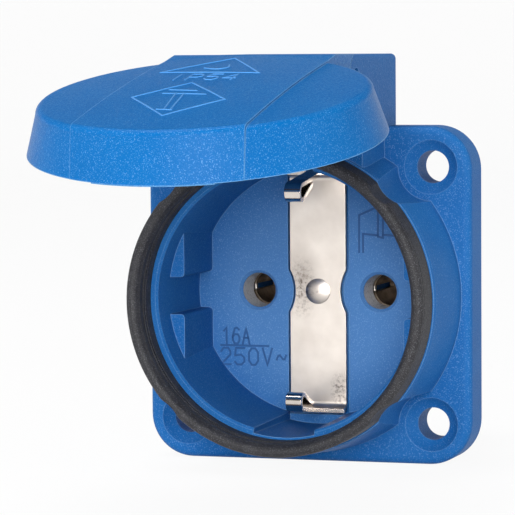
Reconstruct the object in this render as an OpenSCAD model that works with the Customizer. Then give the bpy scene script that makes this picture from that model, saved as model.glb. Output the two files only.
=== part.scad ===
// Panel-mounting earthed socket with a hinged splash lid.
// Millimetres. X to the right, Z up, the plug enters along +Y.
// The origin is on the socket axis, in the plane of the flange's back face.

/* [Flange] */
// Width and height of the square flange
flange_w = 50; // [48:0.5:56]
// Thickness of the flange
flange_t = 6.5; // [5.6:0.1:8]
// Radius of the flange's corners in the front view
flange_corner_r = 6.5; // [4:0.5:7]
// Radius that rounds the flange's front edge
flange_edge_r = 1.2; // [0.6:0.1:1.8]
// Distance of the fixing holes from the flange's edges
hole_inset = 6; // [5.5:0.25:6.5]
// Diameter of a fixing hole
fixing_hole_d = 4.8; // [4:0.1:5.2]
// Diameter of the pocket that takes a fixing screw's head
head_pocket_d = 8; // [7:0.5:9]
// Depth of that pocket
head_pocket_depth = 2; // [1:0.25:2.5]
// Depth that the clearance scallop of a fixing hole bites into the rubber ring
scallop_bite = 0.53; // [0.3:0.05:0.8]

/* [Collar and well] */
// Step from the rubber ring out to the collar's front edge
collar_step = 0.2; // [0.1:0.05:0.4]
// Growth of the collar's radius towards the flange
collar_flare = 1; // [0.6:0.1:1.2]
// Length of the collar in front of the flange
collar_len = 12.2; // [10:0.2:13.8]
// Width of the collar's rim inside the rubber ring
rim_w = 1.05; // [0.9:0.05:1.3]
// Draft of the well: loss of radius from its mouth to the contact face
well_draft = 0.45; // [0.2:0.05:0.6]
// Depth of the well, from the collar's front to the contact face
well_depth = 17.9; // [16:0.1:18.2]
// Thickness of the wall behind the contact face
well_floor_t = 2.5; // [2.2:0.1:3.2]
// Thickness of the key pads, from the well's mouth inwards
pad_t = 2.55; // [2.2:0.05:3]
// Height of the key pads above the contact face
pad_h = 13.1; // [11:0.1:14]
// Width of the keyway between two pads
keyway_w = 5.5; // [4.5:0.1:6.5]
// Radius of the fillets along the pads' edges
pad_fillet_r = 0.6; // [0.4:0.1:0.9]

/* [Contacts] */
// Spacing of the two live contacts
pin_pitch = 19; // [18.6:0.1:19.4]
// Diameter of a pin hole through the contact face
pin_hole_d = 5.2; // [5:0.1:5.4]
// Diameter of the lead-in chamfer of a pin hole
pin_chamfer_d = 6.2; // [5.8:0.1:6.6]
// Inner diameter of a contact sleeve
sleeve_bore_d = 4.9; // [4.8:0.02:5]
// Wall of a contact sleeve
sleeve_wall = 0.6; // [0.5:0.05:0.7]
// Depth of a contact sleeve's mouth behind the contact face
sleeve_depth = 6.4; // [5.8:0.1:6.6]
// Length of a contact sleeve
sleeve_len = 13.4; // [12.8:0.2:13.4]
// Width of the slots that part a sleeve into jaws
sleeve_slot_w = 0.9; // [0.6:0.1:1.2]
// Wire diameter of the spring ring round each sleeve
spring_wire_d = 0.7; // [0.5:0.05:0.7]

/* [Earth strip] */
// Width of the earth strip
strip_w = 8.7; // [8:0.1:9.2]
// Width of the strip at its waist
waist_w = 7; // [6.4:0.1:7.6]
// Height of the waist
waist_h = 6.4; // [5:0.2:8]
// Sheet thickness of the strip and its hooks
strip_t = 0.65; // [0.5:0.05:0.8]
// Gap between the strip and its recess
strip_gap = 0.4; // [0.2:0.05:0.6]
// Height of the strip's face above the contact face
strip_proud = 0.3; // [0.1:0.05:0.5]
// Gap between the strip's bent ends and the ends of their slots in the well's wall
clip_gap = 1.85; // [1.6:0.05:2.2]
// Inner radius of the bends at the strip's ends
bend_r = 0.9; // [0.5:0.1:1.2]
// Width of a spring hook
hook_w = 2.4; // [1.8:0.1:3]
// Drop from the strip's bent end to the nose of a hook
hook_drop = 4.2; // [3.8:0.1:4.6]
// Outer radius of the roll at a hook's front
hook_roll_r = 1.45; // [1.2:0.05:1.6]
// Reach of a hook in front of the contact face
hook_reach = 13.2; // [11:0.2:14.4]
// Rise of a hook's free tail behind the roll, in degrees
hook_tail_rise = 23; // [20:1:30]
// Diameter of the rivet's head
rivet_head_d = 3.8; // [3.2:0.1:4.4]

/* [Seal ring] */
// Inner radius of the rubber ring
ring_inner_r = 20.4; // [20.2:0.1:20.6]
// Wall of the rubber ring
ring_wall = 2; // [1.8:0.1:2.2]
// Height of the rubber ring in front of the collar
ring_h = 5.6; // [5:0.1:5.8]

/* [Hinge] */
// Width of the hinge block
block_w = 23.9; // [22:0.1:25]
// Radius that rounds the block's top edges
block_edge_r = 0.8; // [0.4:0.1:1.2]
// Height of the hinge axis above the socket axis
hinge_z = 32.1; // [31.8:0.1:33]
// Distance of the hinge axis in front of the flange's back face
hinge_out = 21; // [20.6:0.1:21.4]
// Outer radius of the hinge knuckles
knuckle_r = 3.5; // [3.2:0.1:3.7]
// Thickness of each cheek of the hinge block
cheek_t = 3.2; // [2.6:0.1:4]
// Diameter of the hinge pin
hinge_pin_d = 1.8; // [1.5:0.1:2.2]
// Radial clearance of the hinge pin in its bores
pin_clear = 0.05; // [0.03:0.01:0.08]
// Angle at which the lid stands open
lid_angle = 78.2; // [0:0.1:98]

/* [Lid] */
// Clearance of the lid's skirt round the rubber ring
skirt_clear = 0.35; // [0.2:0.05:0.5]
// Wall of the lid's skirt at its rim
lid_wall = 1.75; // [1.6:0.05:1.9]
// Taper of the lid's skirt: loss of radius from the rim to the face
lid_taper = 1.8; // [1.4:0.1:1.9]
// Radius that rounds the edge of the lid's face
lid_edge_r = 1.1; // [0.7:0.1:1.2]
// Height of the lid from rim to face
lid_h = 6.6; // [6.4:0.1:7.2]
// Thickness of the lid's face
lid_t = 1.8; // [1.5:0.1:2]
// Rise of the domed lid face from its edge to its middle
lid_crown = 0.6; // [0.3:0.1:1]
// Height of the raised band across the lid
band_rise = 0.3; // [0.2:0.05:0.5]
// Clearance between the closed lid and the rubber ring
lid_clear = 0.25; // [0.15:0.05:0.4]

/* [Rear side] */
// Gap between the panel gasket and the spigot that fits the panel's cut-out
spigot_gap = 1.4; // [1.2:0.1:1.8]
// Length of the spigot
spigot_len = 6; // [4:0.5:8]
// Step in from the spigot to the rear skirt
spigot_step = 3.2; // [2.9:0.1:3.4]
// Wall of the rear skirt
skirt_wall = 1.8; // [1.5:0.1:2]
// Length of the rear skirt behind the flange
skirt_len = 20.8; // [20.8:0.2:22]
// Thickness of the terminal carrier's plate
carrier_t = 1.5; // [1.2:0.1:2]
// Depth of the terminal chambers behind the carrier's plate
chamber_depth = 8.8; // [8.4:0.2:10]
// Side of a terminal block
terminal_w = 7.4; // [7:0.1:7.8]
// Depth of a terminal block
terminal_h = 7.4; // [7:0.1:8]
// Wall between a terminal chamber and its surroundings
chamber_wall = 1.2; // [1:0.1:1.5]
// Diameter of a terminal's wire hole
wire_hole_d = 3.4; // [3:0.1:3.6]
// Diameter of a terminal screw
terminal_screw_d = 3; // [2.6:0.1:3.2]
// Diameter of a terminal screw's head
terminal_head_d = 5.6; // [5:0.1:6]
// Distance from the rear skirt's outer side in to the earth terminal's axis
earth_terminal_in = 6.9; // [6.7:0.1:7.1]
// Thickness of the earth bar behind the contact face
bar_t = 1; // [0.8:0.1:1.2]
// Width of the earth bar
bar_w = 6; // [5:0.2:6.4]

/* [Hidden] */
$fn = 96;
eps = 0.01;                                     // overrun of a cut through a face
blue = [0.10, 0.36, 0.70];
blue_lid = [0.08, 0.38, 0.72];
rubber = [0.16, 0.16, 0.17];
nickel = [0.80, 0.78, 0.74];
brass = [0.72, 0.60, 0.32];
steel = [0.62, 0.63, 0.65];
dark_grey = [0.22, 0.23, 0.25];

// Planes across the Y axis
flange_front_y = -flange_t;
collar_front_y = flange_front_y - collar_len;
floor_y = collar_front_y + well_depth;          // the contact face
floor_back_y = floor_y + well_floor_t;
pad_front_y = floor_y - pad_h;
strip_face_y = floor_y - strip_proud;
strip_back_y = strip_face_y + strip_t;
bar_back_y = floor_back_y + bar_t;
ring_front_y = collar_front_y - ring_h;
carrier_y = skirt_len - carrier_t;              // front of the carrier's plate
chamber_y = skirt_len;
chamber_end_y = chamber_y + chamber_depth;

// Radii round the socket axis, from the rubber ring outwards and inwards
ring_r = ring_inner_r + ring_wall;
collar_front_r = ring_r + collar_step;
collar_base_r = collar_front_r + collar_flare;
well_mouth_r = ring_inner_r - rim_w;
well_floor_r = well_mouth_r - well_draft;
pad_x = well_mouth_r - pad_t;
gasket_inner_r = collar_front_r;
spigot_r = gasket_inner_r - spigot_gap;
skirt_r = spigot_r - spigot_step;
lid_cavity_r = ring_r + skirt_clear;
lid_rim_r = lid_cavity_r + lid_wall;
lid_face_r = lid_rim_r - lid_taper;

// Fixing holes and their scallops
fixing_pitch = flange_w - 2 * hole_inset;
scallop_r = fixing_pitch / sqrt(2) - ring_r + scallop_bite;
fixing_corners = [for (sx = [-1, 1], sz = [-1, 1]) [sx * fixing_pitch / 2, sz * fixing_pitch / 2]];

// The rubber ring's tongue and its groove in the collar
tongue_in_r = ring_inner_r + 0.25;
tongue_w = 0.6;
tongue_depth = 2;
tongue_clear = 0.05;
ring_rib_r = 0.12;
lip_r = 0.85;

// The gasket and its groove in the flange's back
gasket_w = 1.5;
gasket_t = 1;
gasket_clear = 0.1;

// The clip slots in the well's wall
clip_slot_w = strip_w + 0.5;
clip_slot_r = ring_inner_r - 0.35;

// Bent ends of the earth strip, their hooks and the groove round the strip
clip_root_z = clip_slot_r - clip_gap;
ledge_len = bend_r + 0.4;                       // reach of a bent end in front of the strip
tail_gap = 0.15;                                // between a hook's free tail and its arm
moat_depth = 0.9;                               // of the groove, behind the contact face
moat_in = 0.3;                                  // reach of the groove in under the strip

// Hinge
hinge_y = -hinge_out;
block_top = hinge_z + knuckle_r;
rim_clear = 0.45;                               // gap between the closed lid's rim and the block
block_foot_y = collar_front_y + 0.6;
block_foot_z = well_mouth_r + 0.05;             // inside the collar's wall
block_step_z = lid_rim_r + 0.3;
knuckle_gap_y = knuckle_r + 2.5;                // reach of the cut in front of the knuckle
hinge_gap = 0.3;
pin_pocket_r = hinge_pin_d / 2 + 0.75;
pin_pocket_depth = 0.7;
knuckle_w = block_w - 2 * cheek_t - 2 * hinge_gap;

// Lid, drawn closed and then turned about the hinge
lid_inner_y = ring_front_y - lid_clear;
lid_face_y = lid_inner_y - lid_t;
lid_rim_y = lid_face_y + lid_h;
block_front_y = lid_rim_y + rim_clear;
band_w = block_w;
neck_back_y = lid_rim_y - 0.9;
rim_step = 0.15;
lid_fillet_r = 1.25;                            // inside, between skirt and face
band_fade = 0.05;                               // rise that the band keeps at the rim
rim_step_w = 16.8;

// Rivet through the strip, the contact face's wall and the earth bar
rivet_shank_r = 1.3;
rivet_head_t = 0.5;
rivet_edge_t = 0.12;
rivet_tail_t = 0.6;

// Rear side
spigot_wall = 1.6;

// Contact chambers behind the contact face
boss_r = 5.2;
chamber_r = 3.55;
lip_t = 0.7;                                    // wall of the contact face in front of a guide
guide_clear = 0.05;
guide_mouth = 0.3;                              // chamfer at a guide's back
sleeve_r = sleeve_bore_d / 2 + sleeve_wall;
sleeve_front_y = floor_y + sleeve_depth;
guide_back_y = sleeve_front_y - 0.4;
sleeve_back_y = sleeve_front_y + sleeve_len;
sleeve_base_t = 0.6;
strap_w = 4;
strap_t = 0.8;
strap_slot_clear = 0.2;
spring_y = sleeve_front_y + 2.2;

// Terminals
terminal_y = chamber_y + 0.2;                   // front of a terminal block
terminal_screw_clear = 0.05;
terminal_head_t = 1.9;
chamber_in = terminal_w + 0.6;                  // inner side of a chamber
chamber_out = chamber_in + 2 * chamber_wall;
wire_y = terminal_y + 2.4;
screw_slot_w = 0.8;
screw_slot_depth = 0.9;
earth_terminal_z = skirt_r - earth_terminal_in;
terminal_at = [[-pin_pitch / 2, 0], [pin_pitch / 2, 0], [0, -earth_terminal_z]];

// Screws that hold the carrier
carrier_screw_in = 4.5;                         // from the rear skirt's outer side to a screw
carrier_screw_at = [for (turn = [-132, -48, 90])
    [cos(turn) * (skirt_r - carrier_screw_in), sin(turn) * (skirt_r - carrier_screw_in)]];
carrier_screw_d = 2.4;
carrier_head_d = 4.6;
carrier_head_t = 1.6;
pilot_clear = 0.05;
pilot_depth = 7;
screw_boss_r = 2.9;

// A cylinder along Y, from y0 to y1, on an axis through x and z
module rod_y(r, y0, y1, x = 0, z = 0) {
    translate([x, y0, z])
        rotate([-90, 0, 0])
            cylinder(r = r, h = y1 - y0);
}

// A cylinder along X, centred on the plane X = 0
module rod_x(r, length, y, z) {
    translate([-length / 2, y, z])
        rotate([0, 90, 0])
            cylinder(r = r, h = length);
}

// A flat outline in X and Z, given depth from y0 to y1
module slab_y(y0, y1) {
    translate([0, y1, 0])
        rotate([90, 0, 0])
            linear_extrude(y1 - y0)
                children();
}

// A flat outline in Y and Z, given a width that is centred on x
module slab_x(width, x = 0) {
    translate([x - width / 2, 0, 0])
        rotate([90, 0, 90])
            linear_extrude(width)
                children();
}

// A profile in radius and Y, turned round the socket axis
module turned() {
    rotate([-90, 0, 0])
        rotate_extrude()
            children();
}

// A box from its lowest to its highest corner
module block(low, high) {
    translate(low)
        cube(high - low);
}

// Half of a plate's section: a width from the middle, with one rounded front corner
module rounded_step(half, front, back, r) {
    translate([0, front + r])
        square([half, back - front - r]);
    translate([0, front])
        square([half - r, r + eps]);
    translate([half - r, front + r])
        circle(r);
}

// A square plate with round corners and a rounded front edge
module rounded_plate(w, front, back, corner_r, edge_r) {
    half = w / 2;
    straight = w - 2 * corner_r;
    for (sx = [-1, 1], sz = [-1, 1])
        translate([sx * (half - corner_r), 0, sz * (half - corner_r)])
            turned()
                rounded_step(corner_r, front, back, edge_r);
    for (turn = [0, 90, 180, 270])
        rotate([0, turn, 0])
            translate([0, 0, -straight / 2])
                linear_extrude(straight)
                    rounded_step(half, front, back, edge_r);
}

// The clearance in front of each fixing hole, for a screw's head and driver
module scallops(y0, y1) {
    for (p = fixing_corners)
        rod_y(scallop_r, y0, y1, p[0], p[1]);
}

// A fixing hole with its bowl-shaped head pocket
module fixing_hole() {
    half = head_pocket_d / 2;
    bowl_r = (half * half + head_pocket_depth * head_pocket_depth) / (2 * head_pocket_depth);
    rod_y(fixing_hole_d / 2, flange_front_y - eps, eps);
    turned()
        intersection() {
            translate([0, flange_front_y + head_pocket_depth - bowl_r])
                circle(bowl_r);
            translate([0, flange_front_y - 1])
                square([half, head_pocket_depth + 2]);
        }
}

// The collar's outer form, from the flange to its front
module collar_outside() {
    turned()
        polygon([[0, flange_front_y + 1], [collar_base_r, flange_front_y + 1],
                 [collar_base_r, flange_front_y - 1.2], [collar_front_r, collar_front_y + 1.2],
                 [collar_front_r + 0.2, collar_front_y + 0.9],
                 [collar_front_r, collar_front_y + 0.15], [ring_inner_r, collar_front_y],
                 [0, collar_front_y]]);
}

// The hollow of the well, with its draft and rounded mouth
module well_hollow() {
    turned()
        polygon([[0, collar_front_y - 1], [well_mouth_r + 0.35, collar_front_y - 1],
                 [well_mouth_r + 0.35, collar_front_y], [well_mouth_r, collar_front_y + 0.35],
                 [well_floor_r, floor_y], [0, floor_y]]);
}

// The part of the well that a clip's slot may reach into
module clip_slots() {
    intersection() {
        rod_y(clip_slot_r, collar_front_y - eps, floor_y);
        for (s = [-1, 1])
            block([-clip_slot_w / 2, collar_front_y - 1, s > 0 ? well_floor_r - 3 : -clip_slot_r - 1],
                  [clip_slot_w / 2, floor_y, s > 0 ? clip_slot_r + 1 : 3 - well_floor_r]);
    }
}

// Outline of one key pad in the front view, with filleted edges beside the keyway
module pad_outline() {
    out = well_mouth_r + 1;
    r = pad_fillet_r;
    intersection() {
        circle(well_mouth_r + 0.6);
        union() {
            translate([pad_x + r, keyway_w / 2])
                square([out - pad_x, out]);
            translate([pad_x, keyway_w / 2 + r])
                square([out - pad_x, out]);
            translate([pad_x + r, keyway_w / 2 + r])
                circle(r);
        }
    }
}

// The four key pads at the sides of the well
module key_pads() {
    for (mx = [0, 1], mz = [0, 1])
        mirror([mx, 0, 0])
            mirror([0, 0, mz])
                slab_y(pad_front_y, floor_y + 1)
                    pad_outline();
}

// Outline of the earth strip in the front view, grown by a margin
module strip_outline(grow, half_height) {
    side_r = (pow(waist_h / 2, 2) + pow((strip_w - waist_w) / 2, 2)) / (strip_w - waist_w);
    difference() {
        square([strip_w + 2 * grow, 2 * half_height], center = true);
        for (s = [-1, 1])
            translate([s * (waist_w / 2 + side_r + grow), 0])
                circle(side_r);
    }
}

// Side view of a hinge cheek: the block behind and the round lug round the pin
module cheek_side() {
    translate([block_front_y, block_step_z])
        square([-block_front_y, block_top - block_step_z]);
    translate([block_foot_y, block_foot_z])
        square([-block_foot_y, block_top - block_foot_z]);
    translate([hinge_y, hinge_z])
        circle(knuckle_r);
    translate([hinge_y, hinge_z])
        square([block_front_y - hinge_y + 1, knuckle_r]);
}

// Outline of the hinge block from the front, with rounded top edges
module block_front() {
    half = block_w / 2;
    translate([-half, 0])
        square([block_w, block_top - block_edge_r]);
    translate([block_edge_r - half, 0])
        square([block_w - 2 * block_edge_r, block_top]);
    for (s = [-1, 1])
        translate([s * (half - block_edge_r), block_top - block_edge_r])
            circle(block_edge_r);
}

// The hinge block with the gap for the lid's knuckle
module hinge_block() {
    swing_r = knuckle_r + hinge_gap;
    difference() {
        intersection() {
            slab_x(block_w)
                cheek_side();
            slab_y(hinge_y - knuckle_r - 1, 0)
                block_front();
        }
        rod_x(swing_r, knuckle_w + 2 * hinge_gap, hinge_y, hinge_z);
        block([-knuckle_w / 2 - hinge_gap, hinge_y - knuckle_gap_y, hinge_z - swing_r],
              [knuckle_w / 2 + hinge_gap, hinge_y, hinge_z + swing_r + 1]);
        rod_x(hinge_pin_d / 2 + pin_clear, block_w + 2, hinge_y, hinge_z);
        for (s = [-1, 1])
            translate([s * block_w / 2, 0, 0])
                rod_x(pin_pocket_r, 2 * pin_pocket_depth, hinge_y, hinge_z);
    }
}

// The chambers, bosses and skirt behind the contact face
module rear_body() {
    difference() {
        rod_y(spigot_r, -1, spigot_len);
        rod_y(spigot_r - spigot_wall, floor_back_y, spigot_len + eps);
    }
    difference() {
        rod_y(skirt_r, -1, skirt_len);
        rod_y(skirt_r - skirt_wall, floor_back_y, skirt_len + eps);
    }
    for (s = [-1, 1])
        rod_y(boss_r, floor_back_y - eps, carrier_y, s * pin_pitch / 2);
    for (p = carrier_screw_at)
        rod_y(screw_boss_r, floor_back_y - eps, carrier_y, p[0], p[1]);
}

// One moulding: flange, collar, well, hinge block and rear skirt
module housing() {
    color(blue)
    difference() {
        union() {
            difference() {
                union() {
                    rounded_plate(flange_w, flange_front_y, 0, flange_corner_r, flange_edge_r);
                    collar_outside();
                    hinge_block();
                    rear_body();
                }
                well_hollow();
            }
            difference() {
                key_pads();
                rod_y(well_mouth_r, floor_y + eps, floor_y + 2);
            }
        }
        clip_slots();
        scallops(collar_front_y - 1, flange_front_y);
        for (p = fixing_corners)
            translate([p[0], 0, p[1]])
                fixing_hole();
        turned()
            translate([tongue_in_r - tongue_clear, collar_front_y - eps])
                square([tongue_w + 2 * tongue_clear, tongue_depth + eps]);
        turned()
            translate([gasket_inner_r - gasket_clear, -gasket_t])
                square([gasket_w + 2 * gasket_clear, gasket_t + eps]);
        strip_recess();
        rod_y(rivet_shank_r, floor_y - 1, floor_back_y + 1);
        for (s = [-1, 1])
            translate([s * pin_pitch / 2, 0, 0])
                pin_way();
        for (p = carrier_screw_at)
            rod_y(carrier_screw_d / 2 + pilot_clear, carrier_y - pilot_depth, carrier_y + eps, p[0], p[1]);
    }
}

// The strip's recess, with a groove round a pedestal that carries the strip
module strip_recess() {
    difference() {
        slab_y(floor_y - 1, floor_y + moat_depth)
            strip_outline(strip_gap, clip_root_z + strip_gap);
        slab_y(strip_back_y, floor_y + moat_depth + 1)
            strip_outline(-moat_in, clip_root_z - moat_in);
    }
}

// The way of a plug's pin: chamfer, hole and contact chamber
module pin_way() {
    chamfer = (pin_chamfer_d - pin_hole_d) / 2;
    turned()
        polygon([[0, floor_y - eps], [pin_chamfer_d / 2 + eps, floor_y - eps],
                 [pin_hole_d / 2, floor_y + chamfer], [0, floor_y + chamfer]]);
    rod_y(pin_hole_d / 2, floor_y, floor_back_y + 1);
    rod_y(chamber_r, floor_y + lip_t, carrier_y + eps);
}

// Section of the rubber ring: body, round lip, two fine ribs and a tongue
module ring_section() {
    lip_c = [ring_r - lip_r, ring_front_y + lip_r];
    polygon([[ring_inner_r, collar_front_y], [ring_inner_r + 0.1, ring_front_y + 1.1],
             [ring_inner_r + 0.35, ring_front_y + 0.6], [lip_c[0], ring_front_y],
             [lip_c[0] + 0.3, lip_c[1] + 0.4], [ring_r - 0.15, ring_front_y + 1.9],
             [ring_r, collar_front_y]]);
    translate(lip_c)
        circle(lip_r);
    for (y = [ring_front_y + 2.4, ring_front_y + 3.3])
        translate([ring_inner_r + 0.08, y])
            circle(ring_rib_r);
    translate([tongue_in_r, collar_front_y - eps])
        square([tongue_w, tongue_depth + eps]);
}

// Rubber ring that the closed lid presses on
module seal_ring() {
    color(rubber)
    difference() {
        turned()
            ring_section();
        scallops(ring_front_y - 1, collar_front_y + tongue_depth + 1);
    }
}

// Flat ring that seals the flange against the panel
module panel_gasket() {
    color(rubber)
    turned()
        translate([gasket_inner_r, -gasket_t])
            square([gasket_w, gasket_t]);
}

// Half of a domed cap in the turned section: its half-width, its rise, the face and the root
module crown(half, rise, face_y, root) {
    r = (half * half + rise * rise) / (2 * rise);
    intersection() {
        translate([0, face_y - rise + r])
            circle(r, $fn = 720);
        translate([0, face_y - rise - 1])
            square([half, rise + 1 + root]);
    }
}

// Section of the closed lid's outside, grown for the raised band
module lid_section(grow) {
    edge = [lid_face_r + grow, lid_face_y - grow];
    round_c = [edge[0] + 0.15 - lid_edge_r, edge[1] + lid_edge_r];
    rim = lid_rim_r + min(grow, band_fade);
    polygon([[0, lid_rim_y], [rim, lid_rim_y], [edge[0] + 0.15, round_c[1]],
             [round_c[0], round_c[1]], [round_c[0], edge[1]], [0, edge[1]]]);
    translate(round_c)
        circle(lid_edge_r);
    crown(round_c[0], lid_crown, edge[1], 0.5);
}

// Half of the section of the lid's hollow, with a fillet round its face
module lid_hollow() {
    flat_r = lid_cavity_r - lid_fillet_r;
    fillet_y = lid_inner_y + lid_fillet_r;
    polygon([[0, lid_inner_y], [flat_r, lid_inner_y], [flat_r, fillet_y], [lid_cavity_r, fillet_y],
             [lid_cavity_r, lid_rim_y + 1], [0, lid_rim_y + 1]]);
    translate([flat_r, fillet_y])
        circle(lid_fillet_r);
    crown(flat_r, lid_crown, lid_inner_y, 0.5);
}

// Side view of the lid's neck, from the lid to the knuckle
module neck_side(full) {
    ramp_z = lid_face_r;
    face = lid_face_y - band_rise;
    ramp_turn = atan((hinge_y - knuckle_r - face) / (hinge_z - ramp_z));
    touch = [hinge_y - knuckle_r * cos(ramp_turn), hinge_z + knuckle_r * sin(ramp_turn)];
    polygon([[face, ramp_z - 4], [face, ramp_z], touch, [hinge_y, hinge_z],
             [hinge_y + knuckle_r * 0.35, hinge_z - knuckle_r * 0.94],
             [neck_back_y, ramp_z + 1], [neck_back_y, ramp_z - 4]]);
    if (full)
        translate([hinge_y, hinge_z])
            circle(knuckle_r);
}

// The lid as it is when closed
module closed_lid() {
    reach = 2 * lid_rim_r;
    difference() {
        union() {
            turned()
                lid_section(0);
            intersection() {
                turned()
                    lid_section(band_rise);
                block([-band_w / 2, lid_face_y - 1, -reach], [band_w / 2, lid_rim_y + 1, reach]);
            }
            intersection() {
                rod_y(lid_rim_r, lid_rim_y - eps, lid_rim_y + rim_step);
                block([-rim_step_w / 2, lid_rim_y - 1, -reach], [rim_step_w / 2, lid_rim_y + 1, 0]);
            }
            difference() {
                slab_x(band_w)
                    neck_side(false);
                rod_x(knuckle_r + hinge_gap, band_w + 1, hinge_y, hinge_z);
            }
            slab_x(knuckle_w)
                neck_side(true);
        }
        turned()
            lid_hollow();
        rod_x(hinge_pin_d / 2 + pin_clear, block_w, hinge_y, hinge_z);
    }
}

// Splash lid, standing open
module lid() {
    color(blue_lid)
    translate([0, hinge_y, hinge_z])
        rotate([-lid_angle, 0, 0])
            translate([0, -hinge_y, -hinge_z])
                closed_lid();
}

// Pin through both cheeks and the lid's knuckle
module hinge_pin() {
    color(steel)
    rod_x(hinge_pin_d / 2, block_w - 2 * pin_pocket_depth, hinge_y, hinge_z);
}

// Side view of one sprung hook: an arm, a roll and a free tail that rises under the arm
module hook_side() {
    r = hook_roll_r;
    inner = r - strip_t;
    lap = ledge_len - bend_r;
    root = [strip_face_y - ledge_len, clip_root_z];
    c = [floor_y - hook_reach + r, clip_root_z - hook_drop + r];
    span = root - c;
    arm_turn = atan2(span[1], span[0]) - asin(r / norm(span));
    along = [cos(arm_turn), sin(arm_turn)];
    up = [-sin(arm_turn), cos(arm_turn)];
    tail_along = [cos(hook_tail_rise), sin(hook_tail_rise)];
    down = [sin(hook_tail_rise), -cos(hook_tail_rise)];
    open = hook_tail_rise - arm_turn;
    tail = (inner * (1 + cos(open)) - tail_gap) / sin(open);
    tip = c + inner * down + tail * tail_along;
    over_tip = c + inner * up + ((tip - c) * along) * along;
    under_root = c + inner * up + (root[0] + lap - c[0] - inner * up[0]) / along[0] * along;
    difference() {
        union() {
            translate(c)
                circle(r);
            polygon([c + r * up, root, root + [lap, 0], under_root, over_tip, tip, tip + strip_t * down,
                     c + r * down]);
        }
        translate(c)
            circle(inner);
        polygon([c + inner * up, over_tip + tail_gap * along, tip + tail_gap * tail_along,
                 c + inner * down]);
    }
}

// Side view of the filled corner round the strip's bend, out to a radius
module bend_corner(r, front_y, foot_z) {
    c = [strip_face_y - bend_r, clip_root_z - strip_t - bend_r];
    translate([front_y, foot_z])
        square([c[0] - front_y, c[1] + r - foot_z]);
    translate([front_y, foot_z])
        square([c[0] + r - front_y, c[1] - foot_z]);
    translate(c)
        circle(r);
}

// Side view of a bent end of the strip: a short stretch of its face, the bend and the ledge
module bend_side() {
    front_y = strip_face_y - ledge_len;
    foot_z = clip_root_z - strip_t - bend_r - 1;
    intersection() {
        difference() {
            bend_corner(bend_r + strip_t, front_y, foot_z);
            bend_corner(bend_r, front_y - 1, foot_z - 1);
        }
        translate([front_y, foot_z])
            square(clip_root_z - foot_z);
    }
}

// One end of the strip: the bend and the full-width ledge, and the narrow hook in front
module strip_end() {
    slab_x(strip_w)
        bend_side();
    slab_x(hook_w)
        hook_side();
}

// Earth strip with a spring hook at each end, stamped and bent from one sheet
module earth_strip() {
    color(nickel)
    difference() {
        union() {
            slab_y(strip_face_y, strip_back_y)
                strip_outline(0, clip_root_z - strip_t - bend_r);
            for (mz = [0, 1])
                mirror([0, 0, mz])
                    strip_end();
        }
        rod_y(rivet_shank_r, strip_face_y - 1, strip_back_y + 1);
    }
}

// Rivet that joins the strip, the moulding and the earth bar
module earth_rivet() {
    color(nickel) {
        rod_y(rivet_shank_r, strip_face_y - eps, bar_back_y + eps);
        turned()
            crown(rivet_head_d / 2, rivet_head_t - rivet_edge_t, strip_face_y - rivet_edge_t, rivet_edge_t);
        rod_y(rivet_head_d / 2 + 0.2, bar_back_y, bar_back_y + rivet_tail_t);
    }
}

// Bar that leads from the rivet to the earth terminal
module earth_bar() {
    up = rivet_head_d / 2 + 1.1;
    color(nickel)
    difference() {
        union() {
            block([-bar_w / 2, floor_back_y, -earth_terminal_z - bar_t / 2], [bar_w / 2, bar_back_y, up]);
            block([-bar_w / 2, floor_back_y, -earth_terminal_z - bar_t / 2],
                  [bar_w / 2, carrier_y - 0.6, bar_t / 2 - earth_terminal_z]);
            block([-strap_w / 2, carrier_y - 1, -earth_terminal_z - strap_t / 2],
                  [strap_w / 2, terminal_y, strap_t / 2 - earth_terminal_z]);
        }
        rod_y(rivet_shank_r, floor_back_y - 1, bar_back_y + 1);
    }
}

// Terminal block with its wire hole and its screw's bore
module terminal() {
    color(brass)
    difference() {
        block([-terminal_w / 2, terminal_y, -terminal_w / 2],
              [terminal_w / 2, terminal_y + terminal_h, terminal_w / 2]);
        translate([0, wire_y, -terminal_w])
            cylinder(d = wire_hole_d, h = 2 * terminal_w);
        rod_y(terminal_screw_d / 2 + terminal_screw_clear, wire_y, terminal_y + terminal_h + 1);
    }
}

// Slotted screw that clamps the wire in a terminal
module terminal_screw() {
    head_y = terminal_y + terminal_h;
    color(steel)
    difference() {
        union() {
            rod_y(terminal_screw_d / 2, wire_y + 0.6, head_y + eps);
            rod_y(terminal_head_d / 2, head_y, head_y + terminal_head_t);
        }
        block([-terminal_head_d, head_y + terminal_head_t - screw_slot_depth, -screw_slot_w / 2],
              [terminal_head_d, head_y + terminal_head_t + 1, screw_slot_w / 2]);
    }
}

// Two insulating tubes that lead the plug's pins to their sleeves
module pin_guides() {
    bore = pin_hole_d / 2;
    color(dark_grey)
    for (s = [-1, 1])
        translate([s * pin_pitch / 2, 0, 0])
            turned()
                polygon([[bore, floor_y + lip_t], [chamber_r - guide_clear, floor_y + lip_t],
                         [chamber_r - guide_clear, guide_back_y], [bore + guide_mouth, guide_back_y],
                         [bore, guide_back_y - guide_mouth]]);
}

// Contact sleeve: two sprung jaws, a closed base and the strap to its terminal
module contact() {
    jaw_y = sleeve_back_y - 3;
    color(brass) {
        difference() {
            rod_y(sleeve_r, sleeve_front_y, sleeve_back_y);
            rod_y(sleeve_bore_d / 2, sleeve_front_y - eps, sleeve_back_y - sleeve_base_t);
            block([-sleeve_r - 1, sleeve_front_y - 1, -sleeve_slot_w / 2],
                  [sleeve_r + 1, jaw_y, sleeve_slot_w / 2]);
            spring_seat();
        }
        block([-strap_w / 2, sleeve_back_y - eps, -strap_t / 2], [strap_w / 2, terminal_y, strap_t / 2]);
    }
}

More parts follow.
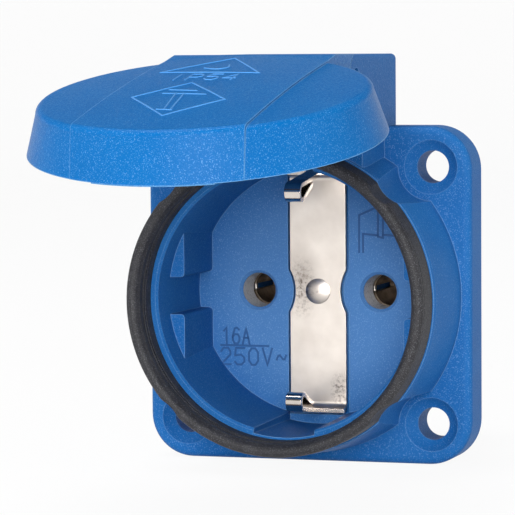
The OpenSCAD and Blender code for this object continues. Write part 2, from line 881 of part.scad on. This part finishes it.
// Shallow groove round the jaws, in which the spring ring lies
module spring_seat() {
    turned()
        translate([sleeve_r + spring_wire_d / 2 - 0.25, spring_y])
            circle(d = spring_wire_d);
}

// Open spring ring that closes the jaws on a pin
module contact_spring() {
    color(steel)
    difference() {
        turned()
            translate([sleeve_r + spring_wire_d / 2 - 0.23, spring_y])
                circle(d = spring_wire_d - 0.04);
        block([0, spring_y - 1, -0.8], [sleeve_r + 2, spring_y + 1, 0.8]);
    }
}

module left_contact() {
    translate([-pin_pitch / 2, 0, 0])
        contact();
}

module right_contact() {
    translate([pin_pitch / 2, 0, 0])
        contact();
}

module left_contact_spring() {
    translate([-pin_pitch / 2, 0, 0])
        contact_spring();
}

module right_contact_spring() {
    translate([pin_pitch / 2, 0, 0])
        contact_spring();
}

module left_terminal() {
    translate([-pin_pitch / 2, 0, 0])
        terminal();
}

module right_terminal() {
    translate([pin_pitch / 2, 0, 0])
        terminal();
}

module left_terminal_screw() {
    translate([-pin_pitch / 2, 0, 0])
        terminal_screw();
}

module right_terminal_screw() {
    translate([pin_pitch / 2, 0, 0])
        terminal_screw();
}

module earth_terminal() {
    translate([0, 0, -earth_terminal_z])
        terminal();
}

module earth_terminal_screw() {
    translate([0, 0, -earth_terminal_z])
        terminal_screw();
}

// Insulating carrier that closes the rear and parts the terminals
module terminal_carrier() {
    plate_r = skirt_r - skirt_wall - 0.1;
    color(dark_grey)
    difference() {
        union() {
            rod_y(plate_r, carrier_y, chamber_y);
            for (p = terminal_at)
                translate([p[0], 0, p[1]])
                    block([-chamber_out / 2, chamber_y, -chamber_out / 2],
                          [chamber_out / 2, chamber_end_y, chamber_out / 2]);
        }
        for (p = terminal_at)
            translate([p[0], 0, p[1]]) {
                block([-chamber_in / 2, chamber_y, -chamber_in / 2],
                      [chamber_in / 2, chamber_end_y + 1, chamber_in / 2]);
                block([-strap_w / 2 - strap_slot_clear, carrier_y - 1, -strap_t / 2 - strap_slot_clear],
                      [strap_w / 2 + strap_slot_clear, chamber_y + 1, strap_t / 2 + strap_slot_clear]);
                wire_entry(p[1] < 0 ? -1 : 1);
            }
        for (p = carrier_screw_at)
            rod_y(carrier_screw_d / 2 + 0.15, carrier_y - 1, chamber_y + 1, p[0], p[1]);
    }
}

// Opening in a chamber's wall for a wire, upwards or downwards
module wire_entry(way) {
    z0 = way > 0 ? 0 : -chamber_out;
    block([-wire_hole_d / 2 - 0.3, wire_y - wire_hole_d / 2 - 0.3, z0],
          [wire_hole_d / 2 + 0.3, chamber_end_y + 1, z0 + chamber_out]);
}

// The three screws that hold the carrier
module carrier_screws() {
    color(steel)
    for (p = carrier_screw_at)
        translate([p[0], 0, p[1]])
            difference() {
                union() {
                    rod_y(carrier_screw_d / 2, carrier_y - pilot_depth + 0.8, chamber_y + eps);
                    rod_y(carrier_head_d / 2, chamber_y, chamber_y + carrier_head_t);
                }
                block([-carrier_head_d, chamber_y + carrier_head_t - screw_slot_depth, -screw_slot_w / 2],
                      [carrier_head_d, chamber_y + carrier_head_t + 1, screw_slot_w / 2]);
            }
}

housing();
seal_ring();
panel_gasket();
lid();
hinge_pin();
earth_strip();
earth_rivet();
earth_bar();
earth_terminal();
earth_terminal_screw();
pin_guides();
left_contact();
left_contact_spring();
left_terminal();
left_terminal_screw();
right_contact();
right_contact_spring();
right_terminal();
right_terminal_screw();
terminal_carrier();
carrier_screws();
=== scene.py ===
"""Looks of the industrial panel socket: materials, raised marks, stage, light and camera.

Lengths are in millimetres where a name or a comment says so, and in metres elsewhere. Every texture
uses object coordinates, which on the CAD nodes are the model's own, so a place on the surface is
given as the CAD gives it.
"""

import math

import bpy
import bmesh
from mathutils import Matrix, Vector


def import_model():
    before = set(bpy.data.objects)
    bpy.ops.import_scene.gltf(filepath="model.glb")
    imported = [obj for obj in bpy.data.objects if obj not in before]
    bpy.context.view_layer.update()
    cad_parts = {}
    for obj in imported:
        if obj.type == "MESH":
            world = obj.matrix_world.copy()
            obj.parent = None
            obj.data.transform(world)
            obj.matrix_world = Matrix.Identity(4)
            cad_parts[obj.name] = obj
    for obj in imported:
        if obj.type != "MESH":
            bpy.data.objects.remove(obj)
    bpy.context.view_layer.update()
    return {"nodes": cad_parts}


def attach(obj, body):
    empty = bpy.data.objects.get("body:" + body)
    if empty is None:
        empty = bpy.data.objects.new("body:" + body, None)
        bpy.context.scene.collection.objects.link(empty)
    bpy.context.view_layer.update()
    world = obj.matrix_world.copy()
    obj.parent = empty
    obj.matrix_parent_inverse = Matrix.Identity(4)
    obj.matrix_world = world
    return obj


MM = 0.001

# The lid rests open. Its marks are laid out on the closed lid, and turned open about the hinge pin.
LID_OPEN_DEG = 78.2
HINGE = Vector((0.0, -21.0, 32.1)) * MM

# The closed lid's face is a crown inside a band, and the contact face is flat (mm)
BAND_FACE_Y = -26.65
LID_FACE_R = 22.05
LID_CROWN = 0.6
CONTACT_FACE_Y = -0.8


def srgb(red, green, blue):
    """A colour as it shows on screen, 0 to 255, as linear values."""
    def linear(v):
        v /= 255.0
        return v / 12.92 if v <= 0.04045 else ((v + 0.055) / 1.055) ** 2.4
    return (linear(red), linear(green), linear(blue), 1.0)


# Colours, as a pair where a material is cloudy between two tones
HOUSING_BLUES = (srgb(26, 93, 159), srgb(46, 112, 175))
LID_BLUES = (srgb(3, 96, 165), srgb(18, 106, 173))
RAISED_BLUES = (srgb(70, 140, 206), srgb(96, 160, 218))
# Painted shade: the face marks are painted darker than the face, standing in for the shade along
# their raised strokes
PAINTED_SHADE_BLUES = (srgb(10, 76, 134), srgb(16, 84, 144))
# Paler blue painted over the well floor and contact face, a painted pool of light
WELL_PAINTED_LIGHT = srgb(84, 130, 184)
CARRIER_GREYS = (srgb(66, 70, 76), srgb(86, 90, 96))
GUIDE_GREYS = (srgb(216, 217, 220), srgb(200, 202, 206))
RUBBER_BLACKS = (srgb(32, 32, 36), srgb(60, 60, 63))
RUBBER_SPECK = srgb(104, 104, 110)
NICKELS = (srgb(224, 216, 208), srgb(206, 197, 189))
NICKEL_SMUDGE = srgb(150, 142, 136)
NICKEL_STAIN = srgb(84, 72, 66)
STEELS = (srgb(196, 190, 184), srgb(150, 146, 142))
BRONZES = (srgb(138, 124, 110), srgb(70, 60, 52))
BRASSES = (srgb(202, 170, 98), srgb(160, 128, 66))

# Painted light of the moulded grain: the colour of its painted glints, then how far specks (painted
# glints) and edges (painted edge highlights) go towards it
HOUSING_PAINTED_GLINTS = (srgb(132, 172, 216), 0.34, 0.5)
LID_PAINTED_GLINTS = (srgb(116, 170, 216), 0.5, 0.8)

# Places on the surface, as the centre and the radii of an ellipsoid (mm)
# Where the well floor is painted paler, as painted light
WELL_FLOOR = ((0.0, CONTACT_FACE_Y, 0.0), (22.0, 1.6, 22.0))
STRIP_SMUDGE = ((-2.4, -1.1, 2.2), (3.6, 3.0, 5.5))
STRIP_WAIST = ((-2.6, -1.1, 0.6), (2.6, 3.0, 5.2))
STRIP_LOWER = ((3.4, -1.1, -15.0), (1.7, 3.0, 3.4))

# The strip's bent ends, brighter the further they stand in front of its flat (mm)
STRIP_FLAT_Y = -1.8
STRIP_BENT_Y = -2.6

# Share of plain white on the stage where the camera or a reflection sees it; the rest is shaded
STAGE_WHITE = 0.93


# ---------------------------------------------------------------- node helpers

class Nodes:
    """A new node material and short ways to add and link its nodes."""

    def __init__(self, name):
        self.material = bpy.data.materials.new(name)
        self.material.use_nodes = True
        self.tree = self.material.node_tree
        self.tree.nodes.clear()
        self.out = self.add("ShaderNodeOutputMaterial")
        self.shader = self.add("ShaderNodeBsdfPrincipled")
        self.link(self.shader.outputs["BSDF"], self.out.inputs["Surface"])
        self.place = self.add("ShaderNodeTexCoord").outputs["Object"]

    def add(self, kind, **settings):
        node = self.tree.nodes.new(kind)
        for key, value in settings.items():
            setattr(node, key, value)
        return node

    def link(self, source, target):
        self.tree.links.new(source, target)

    def feed(self, value, socket):
        """Links a node's output to a socket, or sets the socket to a plain value."""
        if isinstance(value, (int, float, tuple)):
            socket.default_value = value
        else:
            self.link(value, socket)

    def set(self, **values):
        """Sets sockets of the shader; an underscore stands for a space."""
        for key, value in values.items():
            self.feed(value, self.shader.inputs[key.replace("_", " ")])

    def noise(self, per_mm, detail=2.0, rough=0.5, stretch=(1, 1, 1)):
        """Noise with about that many features in a millimetre."""
        mapping = self.add("ShaderNodeMapping")
        mapping.inputs["Scale"].default_value = [s / MM * per_mm for s in stretch]
        self.link(self.place, mapping.inputs["Vector"])
        noise = self.add("ShaderNodeTexNoise")
        noise.inputs["Scale"].default_value = 1.0
        noise.inputs["Detail"].default_value = detail
        noise.inputs["Roughness"].default_value = rough
        self.link(mapping.outputs["Vector"], noise.inputs["Vector"])
        return noise.outputs["Fac"]

    def remap(self, value, low, high, to_low=0.0, to_high=1.0):
        """The value's range low to high, spread over to_low to to_high and clamped there."""
        node = self.add("ShaderNodeMapRange")
        for key, number in (("From Min", low), ("From Max", high),
                            ("To Min", to_low), ("To Max", to_high)):
            node.inputs[key].default_value = number
        self.link(value, node.inputs["Value"])
        return node.outputs["Result"]

    def calc(self, operation, a, b):
        node = self.add("ShaderNodeMath", operation=operation)
        self.feed(a, node.inputs[0])
        self.feed(b, node.inputs[1])
        return node.outputs["Value"]

    def mix(self, factor, a, b):
        node = self.add("ShaderNodeMix", data_type="RGBA")
        self.link(factor, node.inputs["Factor"])
        self.feed(a, node.inputs[6])
        self.feed(b, node.inputs[7])
        return node.outputs[2]

    def along_y(self):
        node = self.add("ShaderNodeSeparateXYZ")
        self.link(self.place, node.inputs[0])
        return node.outputs["Y"]

    def blob(self, centre, radii):
        """1 at a point and 0 outside an ellipsoid round it, in millimetres."""
        mapping = self.add("ShaderNodeMapping", vector_type="TEXTURE")
        mapping.inputs["Location"].default_value = [c * MM for c in centre]
        mapping.inputs["Scale"].default_value = [r * MM for r in radii]
        self.link(self.place, mapping.inputs["Vector"])
        length = self.add("ShaderNodeVectorMath", operation="LENGTH")
        self.link(mapping.outputs["Vector"], length.inputs[0])
        return self.remap(length.outputs["Value"], 1.0, 0.0)

    def rounded(self, radius_mm, samples):
        """The normal as it is where every edge has that radius."""
        bevel = self.add("ShaderNodeBevel", samples=samples)
        bevel.inputs["Radius"].default_value = radius_mm * MM
        return bevel.outputs["Normal"]

    def edges(self, radius_mm=0.25):
        """1 along edges and creases, over about that distance, and 0 on open faces."""
        dot = self.add("ShaderNodeVectorMath", operation="DOT_PRODUCT")
        self.link(self.rounded(radius_mm, 8), dot.inputs[0])
        self.link(self.add("ShaderNodeNewGeometry").outputs["Normal"], dot.inputs[1])
        return self.remap(dot.outputs["Value"], 0.99, 0.88)

    def relief(self, height, depth_mm, edge_mm):
        """Bumps of that depth, over edges softened by a small radius, or left sharp at 0."""
        bump = self.add("ShaderNodeBump")
        bump.inputs["Distance"].default_value = depth_mm * MM
        bump.inputs["Strength"].default_value = 1.0
        self.link(height, bump.inputs["Height"])
        if edge_mm:
            self.link(self.rounded(edge_mm, 6), bump.inputs["Normal"])
        self.link(bump.outputs["Normal"], self.shader.inputs["Normal"])


# ---------------------------------------------------------------- materials

def moulded_plastic(name, tones, grain_mm, rough, edge_mm=0.18, specular=0.5, painted_glints=None,
                    painted_light_at=None):
    """Moulded plastic with a fine spark-eroded grain.

    Given a glint colour, it is speckled with painted glints and painted paler along its edges, a
    painted edge highlight; given a place, it is painted paler there, a painted pool of light.
    """
    m = Nodes(name)
    grain = m.noise(2.8, detail=3.0, rough=0.65)
    cloud = m.noise(0.09, detail=2.0)
    base = m.mix(m.remap(cloud, 0.3, 0.7, 0.0, 0.35), *tones)
    if painted_light_at:
        # Painted light: the well floor is painted paler, a painted pool of light on the contact
        # face
        where = m.calc("MINIMUM", m.calc("MULTIPLY", m.blob(*painted_light_at), 1.8), 0.75)
        base = m.mix(where, base, WELL_PAINTED_LIGHT)
    if painted_glints:
        spark, painted_glints_on_specks, painted_highlight_on_edges = painted_glints
        # Pale specks are painted glints of the grain
        base = m.mix(m.remap(m.noise(7.0, detail=0.0), 0.62, 0.78, 0.0, painted_glints_on_specks), base, spark)
        # Edges and creases are painted paler, a painted highlight along them
        base = m.mix(m.calc("MULTIPLY", m.edges(), painted_highlight_on_edges), base, spark)
    m.set(Base_Color=base, Specular_IOR_Level=specular,
          Roughness=m.remap(grain, 0.3, 0.7, rough - 0.08, rough + 0.08))
    m.relief(grain, grain_mm, edge_mm)
    return m.material


def rubber():
    """Matt dark rubber with a bloom of dust and fine pale specks."""
    m = Nodes("black_rubber")
    grain = m.noise(3.0, detail=3.0, rough=0.7)
    dust = m.remap(m.noise(0.5, detail=4.0), 0.45, 0.8, 0.0, 0.5)
    speck = m.remap(m.noise(7.0, detail=0.0), 0.58, 0.74, 0.0, 0.55)
    m.set(Base_Color=m.mix(speck, m.mix(dust, *RUBBER_BLACKS), RUBBER_SPECK),
          Roughness=m.remap(grain, 0.3, 0.7, 0.5, 0.68), Specular_IOR_Level=0.35)
    m.relief(grain, 0.02, 0.12)
    return m.material


def nickel():
    """Nickel-plated sheet, bright on its bent ends, with the speckled tarnish of stored stock."""
    m = Nodes("nickel")
    fine = m.noise(3.2, detail=4.0, rough=0.7)
    base = m.mix(m.remap(m.noise(0.22, detail=3.0), 0.3, 0.7), *NICKELS)
    base = m.mix(m.calc("MULTIPLY", m.blob(*STRIP_SMUDGE), 0.75), base, NICKEL_SMUDGE)
    speck = m.remap(m.noise(1.7, detail=5.0, rough=0.8), 0.47, 0.62)
    where = m.calc("MAXIMUM", m.calc("MULTIPLY", m.blob(*STRIP_WAIST), 1.2),
                   m.calc("MULTIPLY", m.blob(*STRIP_LOWER), 1.6))
    stain = m.calc("MULTIPLY", speck, m.calc("MINIMUM", where, 1.0))
    base = m.mix(m.calc("MULTIPLY", stain, 0.85), base, NICKEL_STAIN)
    bent = m.remap(m.along_y(), STRIP_FLAT_Y * MM, STRIP_BENT_Y * MM)
    rough = m.calc("SUBTRACT", m.remap(fine, 0.3, 0.7, 0.28, 0.4),
                   m.calc("MULTIPLY", bent, 0.2))
    m.set(Base_Color=base, Roughness=rough, Metallic=1.0)
    m.relief(fine, 0.006, 0.1)
    return m.material


def metal(name, tones, rough, stretch=(1, 1, 1)):
    """Plated or turned metal with fine marks, drawn out where stretch is small."""
    m = Nodes(name)
    fine = m.noise(2.4, detail=3.0, rough=0.6, stretch=stretch)
    cloud = m.remap(m.noise(0.5, detail=3.0), 0.35, 0.7)
    m.set(Base_Color=m.mix(cloud, *tones), Metallic=1.0,
          Roughness=m.remap(fine, 0.3, 0.7, rough - 0.06, rough + 0.1))
    m.relief(fine, 0.008, 0.08)
    return m.material


def stage_material():
    """Pale floor and backdrop: white to the camera and in reflections, with soft shadows kept."""
    m = Nodes("stage_white")
    m.set(Base_Color=(0.86, 0.86, 0.86, 1.0), Roughness=0.9, Specular_IOR_Level=0.1)
    path = m.add("ShaderNodeLightPath").outputs
    seen = m.calc("MAXIMUM", path["Is Camera Ray"], path["Is Glossy Ray"])
    seen = m.calc("MAXIMUM", seen, path["Is Transmission Ray"])
    white = m.add("ShaderNodeEmission")
    white.inputs["Strength"].default_value = 1.0
    mix = m.add("ShaderNodeMixShader")
    m.link(m.calc("MULTIPLY", seen, STAGE_WHITE), mix.inputs[0])
    m.link(m.shader.outputs["BSDF"], mix.inputs[1])
    m.link(white.outputs["Emission"], mix.inputs[2])
    m.link(mix.outputs["Shader"], m.out.inputs["Surface"])
    return m.material


# ---------------------------------------------------------------- marks

# Each letter's strokes in a box one wide and one high
STROKES = {
    "I": (((0.5, 0), (0.5, 1)),),
    "P": (((0, 0), (0, 1), (0.7, 1), (1, 0.85), (1, 0.6), (0.7, 0.45), (0, 0.45)),),
    "0": (((0.3, 0), (0, 0.25), (0, 0.75), (0.3, 1), (0.7, 1), (1, 0.75), (1, 0.25), (0.7, 0),
           (0.3, 0)),),
    "1": (((0.15, 0.8), (0.55, 1), (0.55, 0)),),
    "2": (((0, 0.8), (0.25, 1), (0.75, 1), (1, 0.8), (1, 0.6), (0, 0), (1, 0)),),
    "4": (((0.8, 0), (0.8, 1), (0, 0.3), (1, 0.3)),),
    "5": (((1, 1), (0.1, 1), (0, 0.55), (0.65, 0.6), (1, 0.42), (1, 0.18), (0.7, 0), (0.25, 0),
           (0, 0.15)),),
    "6": (((0.9, 0.9), (0.6, 1), (0.3, 0.95), (0, 0.5), (0, 0.2), (0.25, 0), (0.75, 0), (1, 0.2),
           (1, 0.4), (0.75, 0.58), (0.25, 0.58), (0, 0.4)),),
    "A": (((0, 0), (0.5, 1), (1, 0)), ((0.2, 0.36), (0.8, 0.36))),
    "V": (((0, 1), (0.5, 0), (1, 1)),),
    "~": (((0, 0.36), (0.15, 0.58), (0.35, 0.62), (0.65, 0.4), (0.85, 0.38), (1, 0.6)),),
}
LETTER_GAP = 0.34       # share of a letter's step that is left empty
LONGEST_STRETCH = 0.8   # of a ridge between two rows of points (mm)
RIDGE_SUNK = 0.04       # how far a ridge's foot reaches into its face (mm)
RIDGE_TOP = 0.52        # width of a ridge's top, as a share of its foot's
TOP_TIP = 0.6           # how far the top follows the foot at a ridge's end
SHARPEST_MITRE = 0.5    # cosine below which a corner's mitre grows no further


def written(text, left, right, bottom, top):
    """Stroke lines of a word that fills a box, in millimetres."""
    step = (right - left) / (len(text) - LETTER_GAP)
    width = step * (1 - LETTER_GAP)
    return [[(left + i * step + u * width, bottom + v * (top - bottom)) for u, v in stroke]
            for i, letter in enumerate(text) for stroke in STROKES[letter]]


def smooth(points, steps=8):
    """A smooth line through a few points."""
    out = []
    for i in range(len(points) - 1):
        p0 = Vector(points[max(i - 1, 0)])
        p1, p2 = Vector(points[i]), Vector(points[i + 1])
        p3 = Vector(points[min(i + 2, len(points) - 1)])
        for k in range(steps):
            t = k / steps
            out.append(tuple(0.5 * (2 * p1 + (p2 - p0) * t
                                    + (2 * p0 - 5 * p1 + 4 * p2 - p3) * t * t
                                    + (3 * p1 - p0 - 3 * p2 + p3) * t ** 3)))
    out.append(tuple(points[-1]))
    return out


def finely(line):
    """The same line with no long stretch in it."""
    out = [Vector(line[0])]
    for a, b in zip(line, line[1:]):
        a, b = Vector(a), Vector(b)
        count = max(1, math.ceil((b - a).length / LONGEST_STRETCH))
        out += [a.lerp(b, (k + 1) / count) for k in range(count)]
    return out


def ridge(bm, line, surface_y, width, height):
    """Adds a low ridge with sloping sides that follows a line on a face towards -Y."""
    pts = finely(line)
    closed = (pts[0] - pts[-1]).length < 1e-4
    if closed:
        pts.pop()
    last = len(pts) - 1
    section = ((-0.5, -RIDGE_SUNK), (-RIDGE_TOP / 2, height),
               (RIDGE_TOP / 2, height), (0.5, -RIDGE_SUNK))
    rows = []
    for i, p in enumerate(pts):
        starts, ends = not closed and i == 0, not closed and i == last
        onward = None if ends else (pts[(i + 1) % len(pts)] - p).normalized()
        a = onward if starts else (p - pts[i - 1]).normalized()
        b = a if ends else onward
        side = Vector((-(a + b).y, (a + b).x)).normalized()
        reach = 1.0 / max(SHARPEST_MITRE, abs(side.dot(Vector((-a.y, a.x)))))
        tip = -width / 2 if starts else width / 2 if ends else 0.0
        row = []
        for across, out in section:
            q = p + side * (across * width * reach) + a * tip * (1 if out < 0 else TOP_TIP)
            row.append(bm.verts.new((q.x * MM, (surface_y(q.x, q.y) - out) * MM, q.y * MM)))
        rows.append(row)
    for r0, r1 in list(zip(rows, rows[1:])) + ([(rows[-1], rows[0])] if closed else []):
        for k in range(len(section) - 1):
            bm.faces.new((r0[k], r0[k + 1], r1[k + 1], r1[k]))
    if not closed:
        bm.faces.new(rows[0])
        bm.faces.new(rows[-1][::-1])


def new_object(name, bm, material):
    """An object made from a bmesh, with its normals outwards."""
    mesh = bpy.data.meshes.new(name)
    bm.to_mesh(mesh)
    bm.free()
    mesh.materials.append(material)
    obj = bpy.data.objects.new(name, mesh)
    bpy.context.scene.collection.objects.link(obj)
    return obj


def marks(name, lines, surface_y, width, height, material, body, slot, turn=Matrix()):
    """A piece of ridges along lines on a face, turned afterwards to where its body rests."""
    bm = bmesh.new()
    for line in lines:
        ridge(bm, line, surface_y, width, height)
    bmesh.ops.recalc_face_normals(bm, faces=bm.faces)
    bmesh.ops.transform(bm, matrix=turn, verts=bm.verts)
    piece = new_object(name, bm, material)
    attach(piece, body)


def lid_face(x, z):
    return BAND_FACE_Y - LID_CROWN * (1 - (x * x + z * z) / LID_FACE_R ** 2)


def contact_face(x, z):
    return CONTACT_FACE_Y


# A sign in a triangle, one in a diamond and a word on the lid; words and a sign in the well (mm)
LID_LINES = [
    [(-9.4, 9.5), (5.1, 8.7), (-1.9, 19.7), (-9.4, 9.5)],
    smooth([(-3.9, 12.2), (-1.9, 11.4), (-0.6, 12.6), (-1.0, 14.4)]),
    [(-8.1, -6.1), (-2.4, 2.2), (5.4, -7.4), (-0.5, -15.8), (-8.1, -6.1)],
    [(-4.4, -4.1), (1.8, -4.7)], [(-4.1, -2.1), (-0.1, -2.6)],
    [(-2.5, -4.4), (-1.3, -12.8)], [(-1.3, -4.7), (-0.35, -12.9)], [(-2.3, -12.7), (-0.2, -13.0)],
    *written("IP54", -6.6, 2.8, 4.1, 7.8),
]
FACE_LINES = [
    *written("16A", -15.2, -11.0, -8.2, -5.8),
    [(-15.5, -8.5), (-8.0, -8.5)],
    *written("250V~", -15.5, -5.2, -11.4, -8.9),
    [(6.4, 6.0), (6.4, 11.5), (9.3, 12.8), (9.3, 8.3), (10.1, 8.15), (10.1, 11.9)],
    [(7.0, 6.0), (7.0, 8.7), (9.3, 8.5)], [(10.1, 8.6), (12.7, 8.4)],
]
LID_RIDGE = (0.26, 0.1)     # foot's width and height (mm)
FACE_RIDGE = (0.42, 0.04)


# ---------------------------------------------------------------- stage, light, camera

FLOOR_Z = -25.1 * MM        # just under the flange's lower edge
FLOOR_R = 1.05
RIM_R = 0.12                # of the curve between floor and backdrop
BACKDROP_TOP = 0.4
STAGE_STEPS = 96
RIM_STEPS = 8

# Name, place, width and height, watts, colour; each looks at the origin
LAMPS = (
    ("key", (0.20, -0.87, 0.10), (0.5, 0.45), 9.2, (1.0, 0.985, 0.96)),
    ("fill", (-0.74, -0.62, 0.30), (0.4, 0.5), 1.5, (1, 1, 1)),
    ("side", (0.95, -0.16, 0.16), (0.4, 0.4), 1.6, (1, 1, 1)),
    ("top", (-0.20, -0.10, 0.86), (0.5, 0.5), 5.6, (1, 1, 1)),
)
WORLD_COLOUR = (0.9, 0.95, 1.0, 1.0)
WORLD_STRENGTH = 0.14

# Camera, fitted to the photograph
CAMERA_PLACE = Vector((0.14133, -0.46963, 0.03844))
CAMERA_AZIMUTH, CAMERA_ELEVATION, CAMERA_ROLL = (math.radians(v) for v in (17.849, 4.3735, -0.4075))
CAMERA_LENS = 228.16
CAMERA_SHIFT_Y = 0.0532


def stage():
    """A round pale floor whose rim rises into a low backdrop all round."""
    bm = bmesh.new()
    profile = [(0.6, 0.0), (FLOOR_R, 0.0)]
    for k in range(1, RIM_STEPS + 1):
        a = math.pi / 2 * k / RIM_STEPS
        profile.append((FLOOR_R + RIM_R * math.sin(a), RIM_R - RIM_R * math.cos(a)))
    profile.append((FLOOR_R + RIM_R, BACKDROP_TOP))
    turns = [2 * math.pi * k / STAGE_STEPS for k in range(STAGE_STEPS)]
    centre = bm.verts.new((0, 0, FLOOR_Z))
    rings = [[bm.verts.new((radius * math.cos(t), radius * math.sin(t), FLOOR_Z + height))
              for t in turns] for radius, height in profile]
    for k in range(STAGE_STEPS):
        after = (k + 1) % STAGE_STEPS
        bm.faces.new((centre, rings[0][k], rings[0][after]))
        for low, high in zip(rings, rings[1:]):
            bm.faces.new((low[k], high[k], high[after], low[after]))
    bmesh.ops.recalc_face_normals(bm, faces=bm.faces)
    for face in bm.faces:
        face.smooth = True
    new_object("floor", bm, stage_material())


def lamp(name, place, size, watts, colour):
    """A rectangular area lamp that looks at the origin."""
    data = bpy.data.lights.new(name, "AREA")
    data.shape = "RECTANGLE"
    data.size, data.size_y = size
    data.energy = watts
    data.color = colour
    obj = bpy.data.objects.new(name, data)
    bpy.context.scene.collection.objects.link(obj)
    obj.location = place
    obj.rotation_euler = (-Vector(place)).to_track_quat("-Z", "Y").to_euler()


def world():
    studio = bpy.data.worlds.new("studio")
    bpy.context.scene.world = studio
    studio.use_nodes = True
    background = studio.node_tree.nodes["Background"]
    background.inputs["Color"].default_value = WORLD_COLOUR
    background.inputs["Strength"].default_value = WORLD_STRENGTH


def camera():
    """The photograph's camera, from its direction, roll and place."""
    sin_a, cos_a = math.sin(CAMERA_AZIMUTH), math.cos(CAMERA_AZIMUTH)
    sin_e, cos_e = math.sin(CAMERA_ELEVATION), math.cos(CAMERA_ELEVATION)
    sin_r, cos_r = math.sin(CAMERA_ROLL), math.cos(CAMERA_ROLL)
    back = Vector((sin_a * cos_e, -cos_a * cos_e, sin_e))
    level = Vector((cos_a, sin_a, 0.0))
    upright = back.cross(level)
    right, up = level * cos_r + upright * sin_r, upright * cos_r - level * sin_r
    data = bpy.data.cameras.new("camera")
    data.sensor_width = 36.0
    data.lens = CAMERA_LENS
    data.shift_y = CAMERA_SHIFT_Y
    data.clip_start = 0.01
    obj = bpy.data.objects.new("camera", data)
    bpy.context.scene.collection.objects.link(obj)
    turned = Matrix((right, up, back)).transposed().to_4x4()
    obj.matrix_world = Matrix.Translation(CAMERA_PLACE) @ turned
    bpy.context.scene.camera = obj


# ---------------------------------------------------------------- the part

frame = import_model()

# The housing is painted paler on the well floor, a painted pool of light, and carries painted
# glints and painted edge highlights
housing_blue = moulded_plastic("blue_housing", HOUSING_BLUES, 0.06, 0.46, specular=0.06,
                               painted_glints=HOUSING_PAINTED_GLINTS, painted_light_at=WELL_FLOOR)
# The lid carries painted glints and painted edge highlights too
lid_blue = moulded_plastic("blue_lid", LID_BLUES, 0.06, 0.36, specular=0.08, painted_glints=LID_PAINTED_GLINTS)
carrier_grey = moulded_plastic("grey_plastic", CARRIER_GREYS, 0.02, 0.46)
guide_grey = moulded_plastic("pale_guide", GUIDE_GREYS, 0.01, 0.3, edge_mm=0.1)
dark_rubber = rubber()
sheet_nickel = nickel()
steel = metal("steel", STEELS, 0.3)
brass = metal("brass", BRASSES, 0.3)
bronze = metal("contact_bronze", BRONZES, 0.34, stretch=(1, 0.15, 1))

FINISH = {
    housing_blue: ("housing",),
    lid_blue: ("lid",),
    carrier_grey: ("terminal_carrier",),
    guide_grey: ("pin_guides",),
    dark_rubber: ("seal_ring", "panel_gasket"),
    sheet_nickel: ("earth_strip", "earth_rivet", "earth_bar"),
    steel: ("hinge_pin", "carrier_screws", "left_contact_spring", "right_contact_spring",
            "left_terminal_screw", "right_terminal_screw", "earth_terminal_screw"),
    brass: ("left_terminal", "right_terminal", "earth_terminal"),
    bronze: ("left_contact", "right_contact"),
}
for material, nodes in FINISH.items():
    for node in nodes:
        materials = frame["nodes"][node].data.materials
        materials.clear()
        materials.append(material)

open_lid = (Matrix.Translation(HINGE) @ Matrix.Rotation(math.radians(-LID_OPEN_DEG), 4, "X")
            @ Matrix.Translation(-HINGE))
mark_blue = moulded_plastic("mark_blue", RAISED_BLUES, 0.0, 0.4, edge_mm=0)
# The face marks are painted darker, a painted shade along the raised letters and sign
painted_shade_blue = moulded_plastic("painted_shade_blue", PAINTED_SHADE_BLUES, 0.0, 0.5, edge_mm=0)
marks("lid_marks", LID_LINES, lid_face, *LID_RIDGE, mark_blue, "lid", "blue_lid", open_lid)
marks("face_marks", FACE_LINES, contact_face, *FACE_RIDGE, painted_shade_blue, "socket", "blue_housing")

bpy.context.scene.view_settings.view_transform = "Standard"
stage()
world()
camera()
for settings in LAMPS:
    lamp(*settings)
